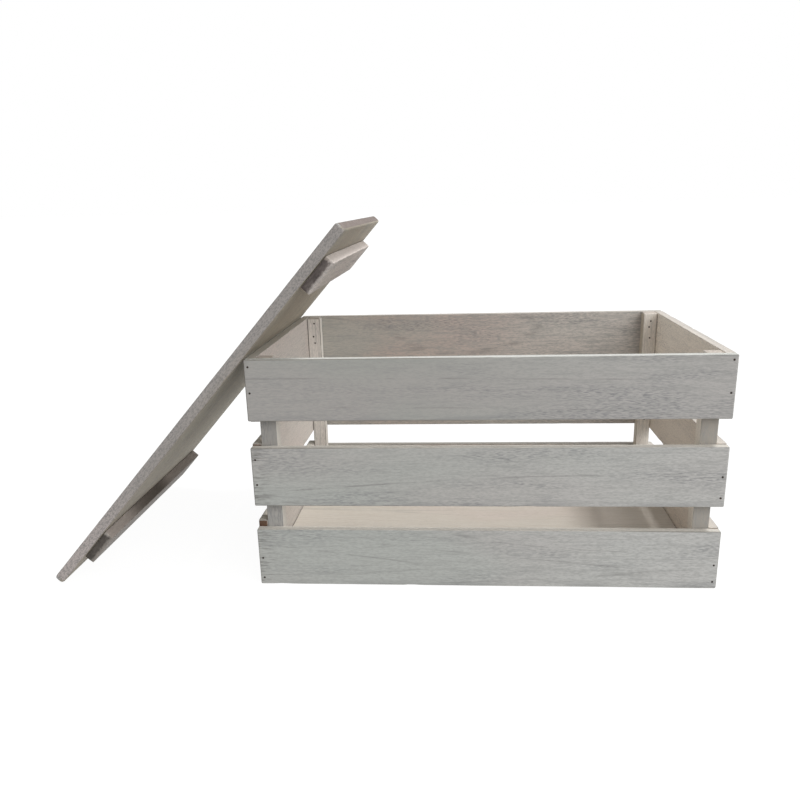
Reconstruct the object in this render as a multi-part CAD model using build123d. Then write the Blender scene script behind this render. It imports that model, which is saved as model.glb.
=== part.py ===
from build123d import *
import os
from math import cos, radians, sin, tan

# Slatted wooden toy crate with a loose lid that leans on the crate's left end. Millimetres.
# Frame: origin at the centre of the crate's footprint, on the floor; +X to the right along the
# crate's length, +Y to the rear, +Z up. The front is at -Y and the lid leans on the -X end.

# Crate
CRATE_LENGTH = 440.0
CRATE_DEPTH = 300.0
CRATE_HEIGHT = 225.0
BOARD = 9.0
POST = 16.0
POST_DROP = 0.5  # how far the posts stop below the rim
PANEL_BOTTOM = 6.0
PANEL_TOP = 15.0
FIT = 0.2  # sawing play between the bottom panel and the boards round it

# Height of the lower edge of each tier, and the boards' width, side by side. The boards were cut
# and nailed by hand, so the sides differ a little; the top tier always ends at the rim.
SLAT_WIDTH = {"front": 58.5, "rear": 58.5, "left": 61.5, "right": 59.0}
LOW_TIER = {"front": 0.0, "rear": 0.0, "left": 3.0, "right": 0.0}
MIDDLE_TIER = {"front": 82.5, "rear": 84.5, "left": 81.0, "right": 82.5}
TIERS = ("low", "middle", "top")

# Lid, measured in its own plane from the end that stands on the floor
LID_LENGTH = 455.0
LID_WIDTH = 300.0
LID_THICKNESS = 10.0
LID_END_ROUNDING = 2.5
LID_SLOPE = 48.0  # degrees above the floor
LID_CENTRE_Y = -6.0
LID_GAP = 0.3  # clearance between the lid and the rim that it leans on
BATTEN_WIDTH = 37.0
BATTEN_THICKNESS = 10.0
BATTEN_LENGTH = 280.0
BATTEN_START = {"lower": 37.0, "upper": 389.0}
BATTEN_SHIFT_Y = -2.0  # the battens sit a little off the lid's centre line

# Nails
HEAD_R = 1.0
HEAD_THICKNESS = 0.8
SHANK_R = 0.6
POINT_LENGTH = 1.5
POINT_R = 0.1
NAIL_PLAY = 0.02  # radial play of a nail in its hole
SLAT_NAIL = 22.0
POST_NAIL = 22.0
PANEL_NAIL = 25.0
LID_NAIL = 17.0
NAIL_INSET = 4.0  # from the slat's end to the nail, inside the side slat's thickness
LID_NAIL_SPACING = 118.0

# Nail heights above the slat's lower edge, tier by tier, as a person placed them
LEFT_END_NAILS = {"low": (7.0, 28.0), "middle": (21.5, 46.5), "top": (27.0, 51.5)}
RIGHT_END_NAILS = {"low": (7.0, 24.0), "middle": (9.0, 29.5), "top": (24.0, 53.5)}
LEFT_POST_NAILS = {"low": (35.0, 43.0, 52.0), "middle": (12.0, 31.0, 47.0), "top": (27.5, 35.5, 51.5)}
RIGHT_POST_NAILS = {"low": (34.5, 42.0, 51.0), "middle": (10.0, 27.0, 49.0), "top": (28.5, 41.5, 48.5)}
POST_NAIL_WANDER = (0.5, -1.0, 0.5)  # sideways place of the three nails about the post's middle

HALF_LENGTH = CRATE_LENGTH / 2
HALF_DEPTH = CRATE_DEPTH / 2


def block(x, y, z):
    """A sawn board or post between the limits given for each axis."""
    size = (x[1] - x[0], y[1] - y[0], z[1] - z[0])
    middle = ((x[0] + x[1]) / 2, (y[0] + y[1]) / 2, (z[0] + z[1]) / 2)
    return Pos(*middle) * Box(*size)


def tier_bottom(side, tier):
    """Height of the lower edge of a slat."""
    heights = {
        "low": LOW_TIER[side],
        "middle": MIDDLE_TIER[side],
        "top": CRATE_HEIGHT - SLAT_WIDTH[side],
    }
    return heights[tier]


def slat(side, tier):
    """One slat. Front and rear slats are full length; side slats butt between them."""
    bottom = tier_bottom(side, tier)
    z = (bottom, bottom + SLAT_WIDTH[side])
    inner_y = HALF_DEPTH - BOARD
    if side == "front":
        return block((-HALF_LENGTH, HALF_LENGTH), (-HALF_DEPTH, -inner_y), z)
    if side == "rear":
        return block((-HALF_LENGTH, HALF_LENGTH), (inner_y, HALF_DEPTH), z)
    if side == "left":
        return block((-HALF_LENGTH, BOARD - HALF_LENGTH), (-inner_y, inner_y), z)
    return block((HALF_LENGTH - BOARD, HALF_LENGTH), (-inner_y, inner_y), z)


def post(x_side, y_side):
    """A square corner post that stands on the bottom panel. The sides are -1 or 1."""
    x = HALF_LENGTH - BOARD - POST / 2
    y = HALF_DEPTH - BOARD - POST / 2
    top = CRATE_HEIGHT - POST_DROP
    middle = (PANEL_TOP + top) / 2
    return Pos(x_side * x, y_side * y, middle) * Box(POST, POST, top - PANEL_TOP)


def bottom_panel():
    """The sheet that closes the bottom, inside the slats."""
    x = HALF_LENGTH - BOARD - FIT
    y = HALF_DEPTH - BOARD - FIT
    return block((-x, x), (-y, y), (PANEL_BOTTOM, PANEL_TOP))


def nail(length, play=0.0):
    """A small wire nail with its head flush at the origin and its point along -Z."""
    head = Pos(0, 0, -HEAD_THICKNESS / 2) * Cylinder(HEAD_R + play, HEAD_THICKNESS)
    shank_length = length - POINT_LENGTH
    shank = Pos(0, 0, -shank_length / 2) * Cylinder(SHANK_R + play, shank_length)
    point_middle = Pos(0, 0, POINT_LENGTH / 2 - length) * Rot(180, 0, 0)
    point = point_middle * Cone(SHANK_R + play, POINT_R, POINT_LENGTH)
    return head + shank + point


def front_rear_nail_places(y_side):
    """Where nails go through the ends of the front (-1) or rear (1) slats."""
    side = "front" if y_side < 0 else "rear"
    turn = Rot(90, 0, 0) if y_side < 0 else Rot(-90, 0, 0)
    places = []
    for tier in TIERS:
        bottom = tier_bottom(side, tier)
        for x_side, heights in ((-1, LEFT_END_NAILS), (1, RIGHT_END_NAILS)):
            for height in heights[tier]:
                x = x_side * (HALF_LENGTH - NAIL_INSET)
                places.append(Pos(x, y_side * HALF_DEPTH, bottom + height) * turn)
    return places


def post_nail_places():
    """Where nails go from inside the crate, through the posts, into the front and rear slats."""
    places = []
    for x_side, heights in ((-1, LEFT_POST_NAILS), (1, RIGHT_POST_NAILS)):
        for y_side, side in ((-1, "front"), (1, "rear")):
            turn = Rot(-90, 0, 0) if y_side < 0 else Rot(90, 0, 0)
            y = y_side * (HALF_DEPTH - BOARD - POST)
            for tier in TIERS:
                bottom = tier_bottom(side, tier)
                for height, offset in zip(heights[tier], POST_NAIL_WANDER):
                    x = x_side * (HALF_LENGTH - BOARD - POST / 2) + offset
                    places.append(Pos(x, y, bottom + height) * turn)
    return places


def panel_nail_places():
    """Where nails go up through the bottom panel into the posts."""
    x = HALF_LENGTH - BOARD - POST / 2
    y = HALF_DEPTH - BOARD - POST / 2
    places = []
    for x_side in (-1, 1):
        for y_side in (-1, 1):
            places.append(Pos(x_side * x, y_side * y, PANEL_BOTTOM) * Rot(180, 0, 0))
    return places


def lid_nail_places():
    """Where nails go down through the lid into its battens, in the lid's own frame."""
    places = []
    for start in BATTEN_START.values():
        for step in (-1, 0, 1):
            y = BATTEN_SHIFT_Y + step * LID_NAIL_SPACING
            places.append(Pos(start + BATTEN_WIDTH / 2, y, LID_THICKNESS))
    return places


def nails(places, length, play=0.0):
    """The nails at these places, as separate solids."""
    one = nail(length, play)
    return [place * one for place in places]


def lid_placing():
    """Moves the lid from its own frame to where it leans on the left rim, rounded foot on the floor."""
    slope = radians(LID_SLOPE)
    sink = LID_END_ROUNDING * (sin(slope) + cos(slope) - 1)
    foot_x = -HALF_LENGTH - (CRATE_HEIGHT + sink) / tan(slope) - LID_GAP
    return Pos(foot_x, LID_CENTRE_Y, -sink) * Rot(0, -LID_SLOPE, 0)


def lid_panel():
    """The lid's board in its own frame: +X up the slope, +Z out of its top face, ends eased."""
    board = block((0, LID_LENGTH), (-LID_WIDTH / 2, LID_WIDTH / 2), (0, LID_THICKNESS))
    return fillet(board.edges().filter_by(Axis.Y), LID_END_ROUNDING)


def batten(name):
    """A batten under the lid, in the lid's own frame."""
    x = (BATTEN_START[name], BATTEN_START[name] + BATTEN_WIDTH)
    y = (BATTEN_SHIFT_Y - BATTEN_LENGTH / 2, BATTEN_SHIFT_Y + BATTEN_LENGTH / 2)
    return block(x, y, (-BATTEN_THICKNESS, 0))


def drilled(piece, holes):
    """The piece with the nail holes that reach it."""
    box = piece.bounding_box()
    for hole in holes:
        reach = hole.bounding_box()
        apart = (
            reach.min.X >= box.max.X or reach.max.X <= box.min.X
            or reach.min.Y >= box.max.Y or reach.max.Y <= box.min.Y
            or reach.min.Z >= box.max.Z or reach.max.Z <= box.min.Z
        )
        if not apart:
            piece = piece - hole
    return piece


def crate_pieces():
    """Every wooden piece of the crate, by node name, before drilling."""
    pieces = {}
    for side in SLAT_WIDTH:
        for tier in TIERS:
            pieces[f"{side}_slat_{tier}"] = slat(side, tier)
    for y_name, y_side in (("front", -1), ("rear", 1)):
        for x_name, x_side in (("left", -1), ("right", 1)):
            pieces[f"corner_post_{y_name}_{x_name}"] = post(x_side, y_side)
    pieces["bottom_panel"] = bottom_panel()
    return pieces


def crate_nail_groups():
    """Places and length of each group of nails in the crate."""
    return {
        "front_slat_nails": (front_rear_nail_places(-1), SLAT_NAIL),
        "rear_slat_nails": (front_rear_nail_places(1), SLAT_NAIL),
        "corner_post_nails": (post_nail_places(), POST_NAIL),
        "bottom_panel_nails": (panel_nail_places(), PANEL_NAIL),
    }


def lid_nodes():
    """The lid's nodes, drilled and leaning."""
    holes = nails(lid_nail_places(), LID_NAIL, NAIL_PLAY)
    placing = lid_placing()
    nodes = {"lid_panel": placing * drilled(lid_panel(), holes)}
    for name in BATTEN_START:
        nodes[f"lid_batten_{name}"] = placing * drilled(batten(name), holes)
    nodes["lid_nails"] = Compound(children=[placing * one for one in nails(lid_nail_places(), LID_NAIL)])
    return nodes


def crate_nodes():
    """The crate's nodes, drilled and nailed."""
    groups = crate_nail_groups()
    holes = []
    for places, length in groups.values():
        holes += nails(places, length, NAIL_PLAY)
    nodes = {name: drilled(piece, holes) for name, piece in crate_pieces().items()}
    for name, (places, length) in groups.items():
        nodes[name] = Compound(children=nails(places, length))
    return nodes


os.makedirs("parts", exist_ok=True)
for node, shape in {**crate_nodes(), **lid_nodes()}.items():
    export_step(shape, f"parts/{node}.step")
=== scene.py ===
import itertools
import math
import random

import bmesh
import bpy
from mathutils import Matrix, Vector, noise


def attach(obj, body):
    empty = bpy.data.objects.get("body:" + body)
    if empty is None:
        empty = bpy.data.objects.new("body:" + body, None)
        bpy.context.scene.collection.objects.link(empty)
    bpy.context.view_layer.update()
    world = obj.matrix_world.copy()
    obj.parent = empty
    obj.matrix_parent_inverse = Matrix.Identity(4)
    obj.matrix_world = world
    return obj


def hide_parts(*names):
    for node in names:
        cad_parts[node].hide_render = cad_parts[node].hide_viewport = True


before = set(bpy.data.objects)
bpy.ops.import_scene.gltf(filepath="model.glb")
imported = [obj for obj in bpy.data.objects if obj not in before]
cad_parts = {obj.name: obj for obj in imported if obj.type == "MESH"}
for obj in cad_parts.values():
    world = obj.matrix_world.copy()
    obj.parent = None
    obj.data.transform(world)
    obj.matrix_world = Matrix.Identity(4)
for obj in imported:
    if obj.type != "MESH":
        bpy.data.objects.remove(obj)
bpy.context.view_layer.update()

# Whitewashed slatted crate with its lid leaning on the left end. Metres, in the CAD frame:
# +X right along the crate, +Y to the rear, +Z up. Every board is rebuilt in its own axes:
# local X along the grain, local Y across the board, local Z out of its outer face.

MM = 0.001
WHITE = (1, 1, 1, 1)

X = Vector((1, 0, 0))
Y = Vector((0, 1, 0))
Z = Vector((0, 0, 1))

# Lid: the slope it leans at, and its own axes
LID_SLOPE = math.radians(48.0)
UP_SLOPE = Vector((math.cos(LID_SLOPE), 0, math.sin(LID_SLOPE)))
LID_NORMAL = Vector((-math.sin(LID_SLOPE), 0, math.cos(LID_SLOPE)))

# Axes of each kind of board: along its grain, across it, and out of its outer face
FRONT_AXES = (X, Z, -Y)
REAR_AXES = (-X, Z, Y)
LEFT_AXES = (-Y, Z, -X)
RIGHT_AXES = (Y, Z, X)
POST_AXES = (Z, X, Y)
SHEET_AXES = (X, Y, Z)
LID_AXES = (UP_SLOPE, Y, LID_NORMAL)
BATTEN_AXES = (Y, UP_SLOPE, -LID_NORMAL)

# Board meshes
SKIN = 0.06 * MM  # boards are this much slimmer than the CAD, so nail heads show
STATION = 5.0 * MM  # spacing of the mesh along a board
FEWEST_STATIONS = 4
COLUMN = 7.0 * MM  # spacing of the mesh across a board
CORNERS = ((1, 1), (-1, 1), (-1, -1), (1, -1))  # signs of local Y and Z, anticlockwise
CORNER_ANGLES = (0, 30, 60, 90)  # degrees round an arris
END_ANGLES = (0, 22.5, 45, 67.5)  # degrees round an end, from its tip
FACE_WEIGHT = 100  # how far the shading follows the large faces

# Rounding of an end, as reach along the board and depth across it
SAWN_END = (1.3 * MM, 1.3 * MM)
LID_TOP_END = (2.5 * MM, 2.5 * MM)
LID_FOOT = (6.5 * MM, 4.4 * MM)

# Worn arrises
ARRIS = 0.6 * MM  # rounding along the long edges
ARRIS_SHARE = 0.4  # most that an arris takes of half the board's thickness
CHIP_COUNT = (2, 5)  # fewest and most worn spots on an arris
CHIP_WIDTH = (2.0, 7.0)  # millimetres
CHIP_DEPTH = 1.1 * MM
CHIP_SHARE = (0.2, 1.0)  # least and most of that depth

# Uneven faces; scales are noise cells per metre
PLANING_DEPTH = 0.10 * MM
PLANING_ALONG = 60
PLANING_ACROSS = 160
WANDER_DEPTH = 0.35 * MM  # sawn edges aren't quite straight
WANDER_ALONG = 9
WANDER_ROUND = 3  # how differently the faces of a board wander

# Random draws: seeds of the boards, and how far apart they lie in the noise
CRATE_SEED = 100
LID_SEED = 301
SEED_STEP = 7
MESH_SPREAD = 50
TEXTURE_SPREAD = 40

# Noise behind each kind of mark: cells per metre along, across and out of the board, then
# detail and roughness
NOISES = {
    "tint": ((5, 14, 14), 1.0, 0.5),
    "blotches": ((16, 200, 200), 2.0, 0.5),
    "streaks": ((220, 1150, 1150), 3.0, 0.65),
    "bands": ((34, 470, 470), 1.0, 0.5),
    "clusters": ((7, 42, 42), 2.0, 0.5),
    "dashes": ((170, 1500, 1500), 1.0, 0.5),
    "growth": ((1.2, 16, 16), 0.5, 0.5),
    "breaks": ((24, 220, 220), 2.0, 0.5),
    "tears": ((90, 900, 900), 1.0, 0.5),
    "fuzz": ((420, 900, 900), 3.0, 0.7),
    "wear": ((60, 420, 420), 3.0, 0.5),
    "patches": ((60, 70, 130), 2.0, 0.5),
    "pores": ((300, 260, 520), 4.0, 0.7),
    "rust": ((900, 900, 900), 3.0, 0.5),
}

# Noise values between which each kind of mark fades in
FADES = {
    "tint": (0.35, 0.65),
    "blotches": (0.40, 0.65),
    "streaks": (0.40, 0.68),
    "bands": (0.45, 0.72),
    "clusters": (0.44, 0.66),
    "dashes": (0.46, 0.62),
    "breaks": (0.40, 0.62),
    "tears": (0.53, 0.62),
    "fuzz": (0.42, 0.62),
    "wear": (0.45, 0.65),
    "patches": (0.35, 0.60),
    "pores": (0.35, 0.70),
    "roughness": (0.30, 0.70),
    "rust": (0.40, 0.65),
}

# Where marks lie. Shares are of the board's half length, width or thickness.
PALE_START = -0.5  # along the board
DASHES_FULL = 0.4
FOOT_FADE = (-0.25, -0.85)
SIDE_FADE = 0.5  # across the board
INSIDE_FADE = 0.2  # through the board
LOW_BAND = 8 * MM
TEAR_REACH = 24.0 * MM
SIDE_EDGE = (0.15 * MM, 0.7 * MM)  # where a sawn side ends
END_EDGE = (0.15 * MM, 0.6 * MM)  # where a sawn end ends
RUBBED_EDGE = (0.3 * MM, 1.2 * MM)
CORNER_SHADE_CORE = 0.3  # of the reach of the painted shade patch
RIM_WIDTH = (1.0 * MM, 4.0 * MM)
RIM_RAGGED = 5 * MM

# How the marks look
LINE_COUNT = 9.0
LINE_PERIOD = 0.5
LINE_WIDTH = 0.06
LINE_RELIEF = 0.5
LEAST_WEAR = 0.05
STRETCH_WEAR = 0.85
PORE_STRENGTH = 0.6
GRAIN_DEPTH = 0.30 * MM
GRAIN_STRENGTH = 0.4
WOOD_ROUGHNESS = (0.68, 0.86)
WOOD_SPECULAR = 0.25

# Nail steel
STEEL_ROUGHNESS = (0.45, 0.8)
STEEL_METALLIC = 0.6
RUST_OFFSET = (3, 7, 11)
RUST_DEPTH = 0.05 * MM
RUST_STRENGTH = 0.5

# Light: direction towards each lamp, strength and softness
AMBIENT = 0.52
LAMPS = {
    "key": ((0.43, 0.05, 0.91), 1.7, math.radians(11)),
    "fill": ((0.55, -0.60, 0.45), 1.6, math.radians(50)),
}

# Floor
FLOOR_SIZE = 80
FLOOR_DROP = 0.2 * MM  # keeps it clear of the boards' lower edges
FLOOR_COLOUR = (0.1, 0.1, 0.1, 1)
FLOOR_GLOW = 0.95

# Camera
CAMERA_PLACE = (-0.01928, -0.87595, 0.35895)
CAMERA_YAW = math.radians(-4.899)
CAMERA_PITCH = math.radians(17.801)
CAMERA_ROLL = math.radians(-1.566)
CAMERA_LENS = 36.82
CAMERA_SENSOR = 36.0
CAMERA_SHIFT = (0.0041, 0.08)


def linear(red, green, blue):
    """A colour given as 0-255 display values, as linear RGBA."""
    channels = []
    for value in (red, green, blue):
        share = value / 255
        if share <= 0.04045:
            channels.append(share / 12.92)
        else:
            channels.append(((share + 0.055) / 1.055) ** 2.4)
    return (*channels, 1.0)


# Looks of the boards

# OUTER has every key, and each other look says where it differs. Most colours are followed by
# how strongly they show, from 0 to 1. A dark stretch is where it is full and where it has faded
# out, in metres along the board.
NOWHERE = (-9.0, -8.0)
EVERYWHERE = (8.0, 9.0)
OUTER = {
    "wash": linear(178, 180, 175),
    "wash_warm": linear(182, 179, 175),
    "pale_end": linear(196, 194, 190),
    "pale": 0.7,
    "low_band": 0.35,
    "inner": linear(190, 182, 173),
    "inner_warm": linear(194, 180, 170),
    "inner_pale": 0.0,
    "inner_pale_way": (0, 0.6, -1.0),  # axis, and where paling starts and is full
    "streak": linear(152, 152, 149),
    "streaks": 0.55,
    "bands": 0.35,
    "dash": linear(116, 117, 120),
    "dashes": 0.5,
    "left_dashes": 0.4,
    "inner_dashes": 0.4,
    "line": linear(116, 114, 112),
    "lines": 0.35,
    "tear": 0.0,
    "tear_colour": linear(92, 88, 84),
    # Painted light and shade on the sawn sides: the top side paler, as if lit from above, the lower
    # side darker.
    "cut_top": linear(214, 209, 200),
    "cut_low": linear(164, 156, 138),
    "fuzz": 0.25,
    "foot": 0.0,
    "foot_colour": linear(188, 178, 174),
    "corner_shade": (0.0, 1.0, 0.0),  # painted shade where the batten meets the lid: middle and reach along the board, then strength
    "corner_shade_colour": linear(84, 76, 68),
    "edge": linear(118, 114, 106),
    "wear": 0.45,
    "dark_stretch": NOWHERE,
    "end": linear(128, 120, 112),
    "end_light": linear(160, 152, 144),
    "end_dark": linear(84, 74, 66),
    "end_rim": 0.0,
}
FRONT_TOP = {
    **OUTER,
    "wash": linear(162, 164, 158),
    "wash_warm": linear(170, 166, 162),
    "pale_end": linear(190, 187, 184),
    "dashes": 0.55,
    "left_dashes": 0.2,
    "dash": linear(116, 117, 121),
    "cut_top": linear(208, 209, 204),
    "dark_stretch": (-70 * MM, 30 * MM),
}
FRONT_MIDDLE = {
    **OUTER,
    "pale_end": linear(199, 197, 194),
    "lines": 0.5,
    "tear": 0.55,
    "dark_stretch": (-150 * MM, -90 * MM),
}
FRONT_LOW = {
    **OUTER,
    "wash": linear(180, 182, 177),
    "pale_end": linear(203, 202, 199),
    "tear": 0.45,
    "dark_stretch": (170 * MM, 90 * MM),
}
REAR = {
    **OUTER,
    "inner": linear(178, 174, 166),
    "inner_warm": linear(188, 173, 164),
    "inner_pale": 0.8,
    "pale_end": linear(212, 204, 197),
    "inner_dashes": 0.5,
    "streaks": 0.7,
    "bands": 0.5,
    "cut_top": linear(196, 191, 183),
}
REAR_TOP = {**REAR, "dark_stretch": (120 * MM, 20 * MM)}
LEFT = {
    **OUTER,
    "inner": linear(209, 202, 195),
    "inner_warm": linear(209, 199, 192),
    # The sawn top edges are darker: a painted shadow of the lid on the left rim.
    "cut_top": linear(192, 186, 176),
    "streaks": 0.35,
    "bands": 0.2,
    "dashes": 0.65,
    "inner_dashes": 0.1,
    "lines": 0.1,
    "end": linear(92, 66, 50),
    "end_light": linear(110, 84, 66),
    "end_dark": linear(52, 36, 28),
}
RIGHT = {
    **LEFT,
    "inner": linear(235, 225, 212),
    "inner_warm": linear(232, 220, 206),
    "cut_top": linear(206, 199, 191),
    "streaks": 0.25,
    "bands": 0.1,
    "inner_dashes": 0.3,
}
# The top slat's inner face is paler than the lower two: painted light.
RIGHT_TOP = {**RIGHT, "inner": linear(250, 242, 229), "inner_warm": linear(248, 238, 224)}
POST = {
    **OUTER,
    "inner": linear(196, 191, 185),
    "inner_warm": linear(196, 188, 180),
    "lines": 0.2,
    "low_band": 0.0,
    "end": linear(196, 186, 176),
    "end_light": linear(206, 197, 188),
    "end_dark": linear(160, 150, 140),
}
FRONT_LEFT_POST = {
    **POST,
    # Painted shade on the inner face, darkest towards the top and paling towards the foot.
    "inner": linear(151, 151, 149),
    "inner_warm": linear(154, 150, 145),
    "inner_pale": 0.36,
    "inner_pale_way": (0, 0.4, -0.6),
    "inner_dashes": 0.5,
    "cut_top": linear(199, 194, 186),
}
FRONT_RIGHT_POST = {
    **POST,
    # The inner face is darker: painted shade.
    "inner": linear(166, 160, 152),
    "inner_warm": linear(168, 160, 150),
    "inner_dashes": 0.4,
    "cut_low": linear(240, 232, 219),
}
REAR_LEFT_POST = {
    **POST,
    # The inner face is paler: painted light where the lid shades the corner.
    "inner": linear(224, 219, 213),
    "inner_warm": linear(224, 217, 210),
    "streaks": 0.4,
    "cut_top": linear(227, 222, 214),
    "dark_stretch": EVERYWHERE,
    "edge": linear(76, 68, 60),
}
REAR_RIGHT_POST = {
    **POST,
    "inner": linear(241, 234, 224),
    "inner_warm": linear(239, 231, 221),
    "streaks": 0.3,
    "bands": 0.25,
    "inner_dashes": 0.3,
    "cut_low": linear(203, 193, 176),
}
SHEET = {
    **OUTER,
    "wash": linear(206, 200, 190),
    "wash_warm": linear(209, 199, 190),
    "pale": 0.0,
    "low_band": 0.0,
    "inner": linear(206, 198, 186),
    "inner_warm": linear(206, 198, 186),
    "streak": linear(190, 180, 167),
    "streaks": 0.4,
    "bands": 0.3,
    "dashes": 0.12,
    "left_dashes": 0.12,
    "inner_dashes": 0.12,
    "lines": 0.2,
    "dark_stretch": EVERYWHERE,
    "edge": linear(112, 98, 84),
}
LID = {
    **OUTER,
    "pale": 0.0,
    "low_band": 0.0,
    # The underside is olive raw wood under less wash, darkened too as painted shade; it pales
    # towards the far edge as painted light.
    "inner": linear(166, 158, 140),
    "inner_warm": linear(170, 159, 142),
    "inner_pale": 0.72,
    "inner_pale_way": (1, -0.7, 0.8),
    "pale_end": linear(196, 187, 168),
    "cut_top": linear(162, 156, 152),
    "cut_low": linear(162, 156, 152),
    "fuzz": 0.8,
    "foot": 0.8,
    "streak": linear(122, 120, 118),
    "end": linear(130, 119, 114),
    "end_light": linear(140, 129, 124),
    "end_dark": linear(112, 104, 99),
}
BATTEN = {
    **OUTER,
    "wash": linear(209, 200, 194),
    "wash_warm": linear(212, 202, 195),
    "pale": 0.0,
    "low_band": 0.0,
    # The up-slope side is paler: painted light where the lid's overhang shades it.
    "cut_top": linear(214, 204, 197),
    "cut_low": linear(160, 150, 140),
    "end": linear(90, 82, 80),
    "end_light": linear(112, 104, 100),
    "end_dark": linear(62, 56, 54),
    "end_rim": 0.75,
}
# A darker copy of the batten: painted shade for the lower batten under the lid.
LOWER_BATTEN = {
    **BATTEN,
    "wash": linear(152, 143, 135),
    "wash_warm": linear(152, 143, 135),
    "cut_top": linear(168, 157, 150),
    # Painted shade where the up-slope side meets the lid.
    "corner_shade": (-25 * MM, 75 * MM, 0.85),
    "end": linear(76, 72, 67),
    "end_light": linear(92, 87, 81),
}

STEEL = linear(46, 44, 44)
RUST = linear(74, 58, 48)

TIERS = ("low", "middle", "top")
CRATE_SIDES = {
    "front": (FRONT_AXES, (FRONT_LOW, FRONT_MIDDLE, FRONT_TOP)),
    "rear": (REAR_AXES, (REAR, REAR, REAR_TOP)),
    "left": (LEFT_AXES, (LEFT, LEFT, LEFT)),
    "right": (RIGHT_AXES, (RIGHT, RIGHT, RIGHT_TOP)),
}
CRATE_POSTS = {
    "front_left": FRONT_LEFT_POST,
    "front_right": FRONT_RIGHT_POST,
    "rear_left": REAR_LEFT_POST,
    "rear_right": REAR_RIGHT_POST,
}


# Node materials


class Shader:
    """A node material in the making, with the coordinates and the noise offset it is drawn with."""

    def __init__(self, name, offset, own_axes=None):
        self.material = bpy.data.materials.new(name)
        self.material.use_nodes = True
        self.tree = self.material.node_tree
        self.tree.nodes.clear()
        self.offset = offset
        self.surface = self.add("ShaderNodeBsdfPrincipled")
        output = self.add("ShaderNodeOutputMaterial")
        self.tree.links.new(self.surface.outputs["BSDF"], output.inputs["Surface"])
        self.place = self.add("ShaderNodeTexCoord").outputs["Object"]
        if own_axes is not None:
            back = own_axes.inverted()
            self.place = self.mapping(Rotation=back.to_euler(), Location=back.translation)

    def add(self, kind, **settings):
        """A new node with some settings."""
        made = self.tree.nodes.new(kind)
        for key, value in settings.items():
            setattr(made, key, value)
        return made

    def feed(self, socket, value):
        """Links a socket, or sets a constant."""
        if isinstance(value, bpy.types.NodeSocket):
            self.tree.links.new(value, socket)
        else:
            socket.default_value = value

    def maths(self, operation, *values):
        """One arithmetic operation."""
        made = self.add("ShaderNodeMath", operation=operation)
        for socket, value in zip(made.inputs, values):
            self.feed(socket, value)
        return made.outputs[0]

    def mapping(self, **settings):
        """The board's coordinates scaled, turned, then moved."""
        made = self.add("ShaderNodeMapping")
        self.feed(made.inputs["Vector"], self.place)
        for name, value in settings.items():
            made.inputs[name].default_value = value
        return made.outputs[0]

    def part(self, axis):
        """One of the board's coordinates."""
        made = self.add("ShaderNodeSeparateXYZ")
        self.feed(made.inputs[0], self.place)
        return made.outputs[axis]

    def noise(self, kind):
        """The noise behind one kind of mark."""
        scale, detail, roughness = NOISES[kind]
        made = self.add("ShaderNodeTexNoise")
        self.feed(made.inputs["Vector"], self.mapping(Scale=scale, Location=self.offset))
        made.inputs["Scale"].default_value = 1.0
        made.inputs["Detail"].default_value = detail
        made.inputs["Roughness"].default_value = roughness
        return made.outputs["Fac"]

    def between(self, value, low, high, to_low=0.0, to_high=1.0):
        """Smooth step of a value from one range to another."""
        made = self.add("ShaderNodeMapRange", interpolation_type="SMOOTHSTEP")
        self.feed(made.inputs["Value"], value)
        made.inputs["From Min"].default_value = low
        made.inputs["From Max"].default_value = high
        made.inputs["To Min"].default_value = to_low
        made.inputs["To Max"].default_value = to_high
        return made.outputs["Result"]

    def faded(self, kind, value, least=0.0, most=1.0):
        """How strongly one kind of mark shows, given its noise."""
        return self.between(value, *FADES[kind], least, most)

    def marks(self, kind, least=0.0, most=1.0):
        """How strongly one kind of mark shows at each place."""
        return self.faded(kind, self.noise(kind), least, most)

    def blend(self, share, first, second):
        """A colour between two others."""
        made = self.add("ShaderNodeMix", data_type="RGBA")
        self.feed(made.inputs[0], share)
        self.feed(made.inputs[6], first)
        self.feed(made.inputs[7], second)
        return made.outputs[2]

    def bump(self, height, depth, strength):
        """Fine relief of the surface."""
        made = self.add("ShaderNodeBump")
        made.inputs["Strength"].default_value = strength
        made.inputs["Distance"].default_value = depth
        self.feed(made.inputs["Height"], height)
        self.feed(self.surface.inputs["Normal"], made.outputs[0])


def arris_distance(shader, half):
    """How far a surface point is from the nearest edge of its board, and from each pair of faces."""
    gaps = []
    for axis in range(3):
        away = shader.maths("ABSOLUTE", shader.part(axis))
        gaps.append(shader.maths("SUBTRACT", half[axis], away))
    low = shader.maths("MINIMUM", gaps[0], gaps[1])
    high = shader.maths("MAXIMUM", gaps[0], gaps[1])
    middle = shader.maths("MAXIMUM", low, shader.maths("MINIMUM", high, gaps[2]))
    return middle, gaps


def outer_wash(shader, half, look, tint):
    """The wash of the outer side: a paler +X end, and blotches along the lower edge."""
    colour = shader.blend(tint, look["wash"], look["wash_warm"])
    pale = shader.between(shader.part(0), PALE_START * half[0], half[0], 0.0, look["pale"])
    colour = shader.blend(pale, colour, look["pale_end"])
    low = shader.between(shader.part(1), LOW_BAND - half[1], -half[1], 0.0, look["low_band"])
    blotches = shader.maths("MULTIPLY", low, shader.marks("blotches"))
    return shader.blend(blotches, colour, look["dash"])


def inner_wash(shader, half, look, tint):
    """The wash of the inner side, which pales along one of the board's axes."""
    colour = shader.blend(tint, look["inner"], look["inner_warm"])
    axis, start, finish = look["inner_pale_way"]
    way = shader.part(axis)
    pale = shader.between(way, start * half[axis], finish * half[axis], 0.0, look["inner_pale"])
    return shader.blend(pale, colour, look["pale_end"])


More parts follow.
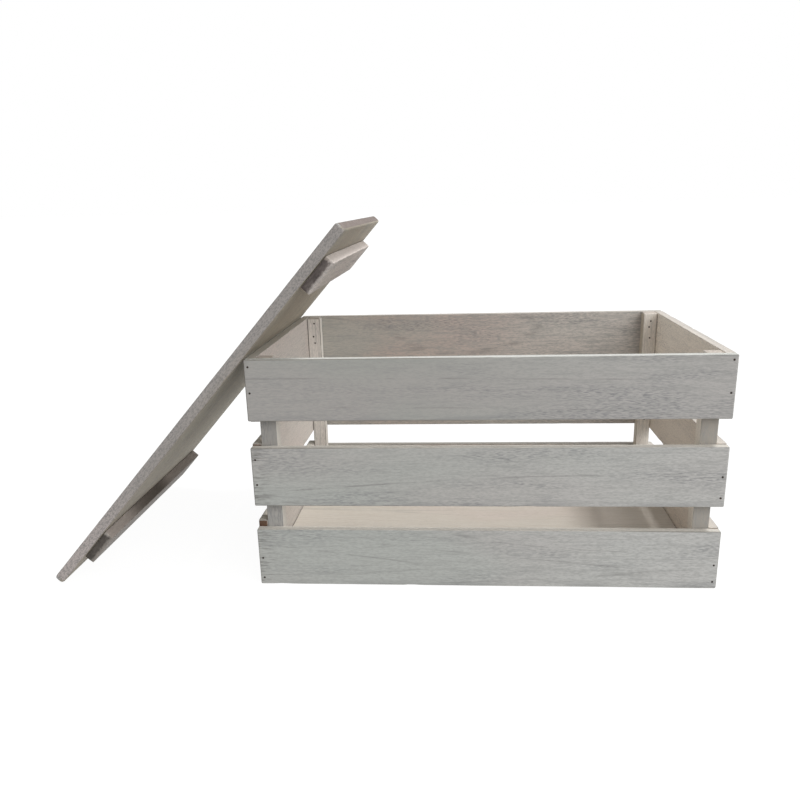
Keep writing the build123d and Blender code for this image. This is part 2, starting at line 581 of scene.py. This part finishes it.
def streaks(shader, look, colour, fine):
    """Fine streaks and broader bands along the board."""
    share = shader.faded("streaks", fine, most=look["streaks"])
    colour = shader.blend(share, colour, look["streak"])
    return shader.blend(shader.marks("bands", most=look["bands"]), colour, look["streak"])


def dashes(shader, half, look, colour, inside):
    """Clusters of short dark dashes, sparser towards the -X end of the outer side."""
    fewest, most = look["left_dashes"], look["dashes"]
    outer = shader.between(shader.part(0), -half[0], DASHES_FULL * half[0], fewest, most)
    outer = shader.maths("MULTIPLY", shader.maths("SUBTRACT", 1.0, inside), outer)
    inner = shader.maths("MULTIPLY", inside, look["inner_dashes"])
    strength = shader.maths("ADD", outer, inner)
    share = shader.maths("MULTIPLY", shader.marks("clusters"), shader.marks("dashes"))
    return shader.blend(shader.maths("MULTIPLY", share, strength), colour, look["dash"])


def growth_lines(shader, look, colour):
    """A few thin, broken growth lines along the board, with how strongly they show."""
    field = shader.maths("MULTIPLY", shader.noise("growth"), LINE_COUNT)
    ridges = shader.maths("PINGPONG", field, LINE_PERIOD)
    lines = shader.between(ridges, 0.0, LINE_WIDTH, 1.0, 0.0)
    share = shader.maths("MULTIPLY", lines, shader.marks("breaks"))
    share = shader.maths("MULTIPLY", share, look["lines"])
    return shader.blend(share, colour, look["line"]), share


def torn_end(shader, half, look, colour):
    """Short dark dashes that the saw tore at the -X end of the board."""
    near = shader.between(shader.part(0), -half[0], TEAR_REACH - half[0], look["tear"], 0.0)
    share = shader.maths("MULTIPLY", near, shader.marks("tears"))
    return shader.blend(share, colour, look["tear_colour"])


def cut_sides(shader, half, gaps, look, colour):
    """The sawn upper and lower edges of the board, with a pale foot; the upper edge carries painted
    light, the lower painted shade, and one patch of painted shade.
    """
    fade = SIDE_FADE * half[1]
    upper = shader.between(shader.part(1), -fade, fade)
    # Painted light on the upper side and painted shade on the lower one.
    tone = shader.blend(upper, look["cut_low"], look["cut_top"])
    start, finish = FOOT_FADE
    foot = shader.between(shader.part(0), start * half[0], finish * half[0], 0.0, look["foot"])
    tone = shader.blend(foot, tone, look["foot_colour"])
    tone = shader.blend(shader.marks("fuzz", most=look["fuzz"]), tone, look["streak"])
    # Painted shade on the upper side where the batten meets the lid, darkest in the middle of its
    # reach.
    middle, reach, strength = look["corner_shade"]
    away = shader.maths("ABSOLUTE", shader.maths("SUBTRACT", shader.part(0), middle))
    corner_shade = shader.between(away, CORNER_SHADE_CORE * reach, reach, strength, 0.0)
    tone = shader.blend(shader.maths("MULTIPLY", corner_shade, upper), tone, look["corner_shade_colour"])
    return shader.blend(shader.between(gaps[1], *SIDE_EDGE, 1.0, 0.0), colour, tone)


def worn_arrises(shader, rubbed, look, colour):
    """Arrises rubbed dark in places, and dark all along one stretch."""
    wear = shader.marks("wear", LEAST_WEAR, look["wear"])
    stretch = shader.between(shader.part(0), *look["dark_stretch"], STRETCH_WEAR, 0.0)
    near = shader.between(rubbed, *RUBBED_EDGE, 1.0, 0.0)
    share = shader.maths("MULTIPLY", near, shader.maths("MAXIMUM", wear, stretch))
    return shader.blend(share, colour, look["edge"])


def end_grain(shader, half, gaps, look, colour):
    """The cross-cut ends: patches of raw wood with dark pores, and wash left along two rims."""
    pores = shader.noise("pores")
    tone = shader.blend(shader.marks("patches"), look["end"], look["end_light"])
    tone = shader.blend(shader.faded("pores", pores, most=PORE_STRENGTH), tone, look["end_dark"])
    from_top = shader.maths("SUBTRACT", half[1], shader.part(1))
    from_face = shader.maths("SUBTRACT", half[2], shader.part(2))
    border = shader.maths("MINIMUM", from_top, from_face)
    ragged = shader.maths("MULTIPLY", shader.maths("SUBTRACT", pores, 0.5), RIM_RAGGED)
    rim = shader.between(shader.maths("ADD", border, ragged), *RIM_WIDTH, look["end_rim"], 0.0)
    tone = shader.blend(rim, tone, colour)
    return shader.blend(shader.between(gaps[0], *END_EDGE, 1.0, 0.0), colour, tone)


def washed_wood(name, own_axes, half, seed, look):
    """Thin white wash over grey-brown wood, for one board."""
    draw = random.Random(seed)
    offset = tuple(draw.uniform(-TEXTURE_SPREAD, TEXTURE_SPREAD) for _ in range(3))
    shader = Shader(name, offset, own_axes)
    rubbed, gaps = arris_distance(shader, half)
    fine = shader.noise("streaks")
    tint = shader.marks("tint")
    fade = INSIDE_FADE * half[2]
    inside = shader.between(shader.part(2), -fade, fade, 1.0, 0.0)

    outer = outer_wash(shader, half, look, tint)
    colour = shader.blend(inside, outer, inner_wash(shader, half, look, tint))
    colour = streaks(shader, look, colour, fine)
    colour = dashes(shader, half, look, colour, inside)
    colour, lines = growth_lines(shader, look, colour)
    colour = torn_end(shader, half, look, colour)
    colour = cut_sides(shader, half, gaps, look, colour)
    colour = worn_arrises(shader, rubbed, look, colour)
    colour = end_grain(shader, half, gaps, look, colour)
    shader.feed(shader.surface.inputs["Base Color"], colour)

    rough = shader.faded("roughness", fine, *WOOD_ROUGHNESS)
    shader.feed(shader.surface.inputs["Roughness"], rough)
    shader.surface.inputs["Specular IOR Level"].default_value = WOOD_SPECULAR
    relief = shader.maths("SUBTRACT", fine, shader.maths("MULTIPLY", lines, LINE_RELIEF))
    shader.bump(relief, GRAIN_DEPTH, GRAIN_STRENGTH)
    return shader.material


def nail_steel():
    """Dull dark wire nails with a little rust."""
    shader = Shader("dull_nail_steel", RUST_OFFSET)
    spots = shader.marks("rust")
    shader.feed(shader.surface.inputs["Base Color"], shader.blend(spots, STEEL, RUST))
    rough = shader.between(spots, 0, 1, *STEEL_ROUGHNESS)
    shader.feed(shader.surface.inputs["Roughness"], rough)
    shader.surface.inputs["Metallic"].default_value = STEEL_METALLIC
    shader.bump(spots, RUST_DEPTH, RUST_STRENGTH)
    return shader.material


# Boards


def measured(node, axes):
    """Centre and size of a CAD node along three axes of its own."""
    points = [vertex.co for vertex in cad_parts[node].data.vertices]
    centre = Vector((0, 0, 0))
    size = []
    for axis in axes:
        reach = [point.dot(axis) for point in points]
        low, high = min(reach), max(reach)
        centre += axis * (low + high) / 2
        size.append(high - low)
    return centre, size


def chips(draw, length):
    """Places, widths and depths of a few worn spots along one arris."""
    spots = []
    for _ in range(draw.randint(*CHIP_COUNT)):
        place = draw.uniform(-length / 2, length / 2)
        width = draw.uniform(*CHIP_WIDTH) * MM
        depth = draw.uniform(*CHIP_SHARE) * CHIP_DEPTH
        spots.append((place, width, depth))
    return spots


def arris_radius(x, spots, limit):
    """Rounding of an arris at a place along the board."""
    radius = ARRIS
    for middle, width, depth in spots:
        radius += depth * math.exp(-(((x - middle) / width) ** 2))
    return min(radius, limit)


def section(half_y, half_z, radii, columns):
    """Points and outward directions round a rounded rectangle, as (y, z, out_y, out_z)."""
    ring = []
    for index, (sign_y, sign_z) in enumerate(CORNERS):
        radius = radii[index]
        centre_y = sign_y * (half_y - radius)
        centre_z = sign_z * (half_z - radius)
        for angle in CORNER_ANGLES:
            turn = math.radians(90 * index + angle)
            out_y, out_z = math.cos(turn), math.sin(turn)
            ring.append((centre_y + radius * out_y, centre_z + radius * out_z, out_y, out_z))
        after = (index + 1) % len(CORNERS)
        along_y = index % 2 == 0
        if along_y:
            begin, finish = centre_y, CORNERS[after][0] * (half_y - radii[after])
        else:
            begin, finish = centre_z, CORNERS[after][1] * (half_z - radii[after])
        count = columns[index % 2]
        for step in range(1, count):
            way = begin + (finish - begin) * step / count
            if along_y:
                ring.append((way, sign_z * half_z, 0, sign_z))
            else:
                ring.append((sign_y * half_y, way, sign_y, 0))
    return ring


def rounded_end(half_x, shape):
    """Places round a board's end, tip first, with how far the section is drawn in at each."""
    reach, depth = shape
    places = []
    for angle in END_ANGLES:
        turn = math.radians(angle)
        places.append((half_x - reach * (1 - math.cos(turn)), depth * (1 - math.sin(turn))))
    return places


def stations(half_x, top, foot):
    """Places from a board's +X end to its -X end, with how far the section is drawn in at each."""
    start = half_x - top[0]
    length = start + half_x - foot[0]
    count = max(FEWEST_STATIONS, round(length / STATION))
    middle = [(start - length * step / count, 0.0) for step in range(count + 1)]
    last = [(-x, drawn) for x, drawn in reversed(rounded_end(half_x, foot))]
    return rounded_end(half_x, top) + middle + last


def unit_noise(place):
    """Smooth noise from 0 to 1."""
    return 0.5 + 0.5 * noise.noise(place)


def worn_point(x, y, z, out_y, out_z, shift):
    """A point of a board's surface, set in by planing marks and by the wander of its edges."""
    planing = Vector((x * PLANING_ALONG, y * PLANING_ACROSS, z * PLANING_ACROSS))
    depth = PLANING_DEPTH * unit_noise(planing + shift)
    wander = Vector((x * WANDER_ALONG, WANDER_ROUND * out_y, WANDER_ROUND * out_z))
    depth_y = depth + WANDER_DEPTH * unit_noise(wander + shift)
    return Vector((x, y, z)) - Vector((0, out_y * depth_y, out_z * depth))


def join_rings(shape, rings):
    """Closes rings of points into one skin."""
    count = len(rings[0])
    for first, second in zip(rings, rings[1:]):
        for step in range(count):
            after = (step + 1) % count
            shape.faces.new((first[step], first[after], second[after], second[step]))
    shape.faces.new(list(reversed(rings[0])))
    shape.faces.new(rings[-1])
    bmesh.ops.recalc_face_normals(shape, faces=shape.faces)


def board_mesh(name, size, seed, top, foot):
    """A sawn board with worn arrises, planing marks and slightly wandering edges."""
    draw = random.Random(seed)
    half = [extent / 2 - SKIN for extent in size]
    spots = [chips(draw, size[0]) for _ in CORNERS]
    shift = Vector([draw.uniform(-MESH_SPREAD, MESH_SPREAD) for _ in range(3)])
    columns = [max(1, round(extent / COLUMN)) for extent in size[1:]]
    shape = bmesh.new()
    rings = []
    for x, drawn in stations(half[0], top, foot):
        limit = ARRIS_SHARE * (min(half[1], half[2]) - drawn)
        radii = [arris_radius(x, spot, limit) for spot in spots]
        points = section(half[1] - drawn, half[2] - drawn, radii, columns)
        rings.append([shape.verts.new(worn_point(x, *point, shift)) for point in points])
    join_rings(shape, rings)
    mesh = bpy.data.meshes.new(name)
    shape.to_mesh(mesh)
    shape.free()
    for face in mesh.polygons:
        face.use_smooth = True
    return mesh, half


def board(node, body, axes, look, seed, top=SAWN_END, foot=SAWN_END):
    """Replaces one CAD board with a detailed one of the same size and place."""
    centre, size = measured(node, axes)
    name = f"{node}_board"
    mesh, half = board_mesh(name, size, seed, top, foot)
    own_axes = Matrix.Translation(centre) @ Matrix(axes).transposed().to_4x4()
    mesh.transform(own_axes)
    piece = bpy.data.objects.new(name, mesh)
    bpy.context.scene.collection.objects.link(piece)
    normals = piece.modifiers.new("face_weighted_normals", "WEIGHTED_NORMAL")
    normals.weight = FACE_WEIGHT
    piece.data.materials.append(washed_wood(f"{node}_wood", own_axes, half, seed, look))
    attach(piece, body)
    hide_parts(node)


def crate_boards():
    """Every slat, post and sheet of the crate."""
    seeds = itertools.count(CRATE_SEED, SEED_STEP)
    for side, (axes, looks) in CRATE_SIDES.items():
        for tier, look in zip(TIERS, looks):
            board(f"{side}_slat_{tier}", "crate", axes, look, next(seeds))
    for name, look in CRATE_POSTS.items():
        board(f"corner_post_{name}", "crate", POST_AXES, look, next(seeds))
    board("bottom_panel", "crate", SHEET_AXES, SHEET, next(seeds))


def lid_boards():
    """The lid's panel and its two battens."""
    seeds = itertools.count(LID_SEED, SEED_STEP)
    board("lid_panel", "lid", LID_AXES, LID, next(seeds), LID_TOP_END, LID_FOOT)
    for name, look in (("lower", LOWER_BATTEN), ("upper", BATTEN)):
        board(f"lid_batten_{name}", "lid", BATTEN_AXES, look, next(seeds))


def nails():
    """Dull steel on the CAD's own nails."""
    steel = nail_steel()
    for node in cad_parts:
        if node.endswith("_nails"):
            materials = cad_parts[node].data.materials
            materials.clear()
            materials.append(steel)


# Studio


def floor():
    """A plain pale floor far larger than the view."""
    bpy.ops.mesh.primitive_plane_add(size=FLOOR_SIZE, location=(0, 0, -FLOOR_DROP))
    plane = bpy.context.object
    plane.name = "studio_floor"
    material = bpy.data.materials.new("studio_floor")
    material.use_nodes = True
    surface = material.node_tree.nodes["Principled BSDF"]
    surface.inputs["Base Color"].default_value = FLOOR_COLOUR
    surface.inputs["Roughness"].default_value = 1.0
    surface.inputs["Specular IOR Level"].default_value = 0.0
    surface.inputs["Emission Color"].default_value = WHITE
    surface.inputs["Emission Strength"].default_value = FLOOR_GLOW
    plane.data.materials.append(material)
    plane.visible_diffuse = False


def white_world():
    """Soft light from all round, with a white backdrop behind the floor."""
    world = bpy.data.worlds.new("studio_world")
    world.use_nodes = True
    tree = world.node_tree
    light = tree.nodes["Background"]
    light.inputs["Strength"].default_value = AMBIENT
    backdrop = tree.nodes.new("ShaderNodeBackground")
    for each in (light, backdrop):
        each.inputs["Color"].default_value = WHITE
    mix = tree.nodes.new("ShaderNodeMixShader")
    path = tree.nodes.new("ShaderNodeLightPath")
    tree.links.new(path.outputs["Is Camera Ray"], mix.inputs["Fac"])
    tree.links.new(light.outputs[0], mix.inputs[1])
    tree.links.new(backdrop.outputs[0], mix.inputs[2])
    tree.links.new(mix.outputs[0], tree.nodes["World Output"].inputs["Surface"])
    bpy.context.scene.world = world


def lamp(name):
    """One large soft light."""
    towards, strength, softness = LAMPS[name]
    data = bpy.data.lights.new(name, "SUN")
    data.energy = strength
    data.angle = softness
    made = bpy.data.objects.new(name, data)
    bpy.context.scene.collection.objects.link(made)
    made.rotation_euler = (-Vector(towards)).to_track_quat("-Z", "Y").to_euler()


def studio():
    """Floor, backdrop and lights."""
    floor()
    white_world()
    for name in LAMPS:
        lamp(name)
    bpy.context.scene.view_settings.view_transform = "Standard"


def camera():
    """The photograph's view of the object."""
    data = bpy.data.cameras.new("camera")
    data.sensor_width = CAMERA_SENSOR
    data.lens = CAMERA_LENS
    data.shift_x, data.shift_y = CAMERA_SHIFT
    made = bpy.data.objects.new("camera", data)
    bpy.context.scene.collection.objects.link(made)
    yaw, pitch = CAMERA_YAW, CAMERA_PITCH
    forward = Vector(
        (math.sin(yaw) * math.cos(pitch), math.cos(yaw) * math.cos(pitch), -math.sin(pitch))
    )
    level = Vector((math.cos(yaw), -math.sin(yaw), 0))
    upright = level.cross(forward)
    right = level * math.cos(CAMERA_ROLL) + upright * math.sin(CAMERA_ROLL)
    up = upright * math.cos(CAMERA_ROLL) - level * math.sin(CAMERA_ROLL)
    turn = Matrix((right, up, -forward)).transposed().to_4x4()
    made.matrix_world = Matrix.Translation(CAMERA_PLACE) @ turn
    bpy.context.scene.camera = made


crate_boards()
lid_boards()
nails()
studio()
camera()
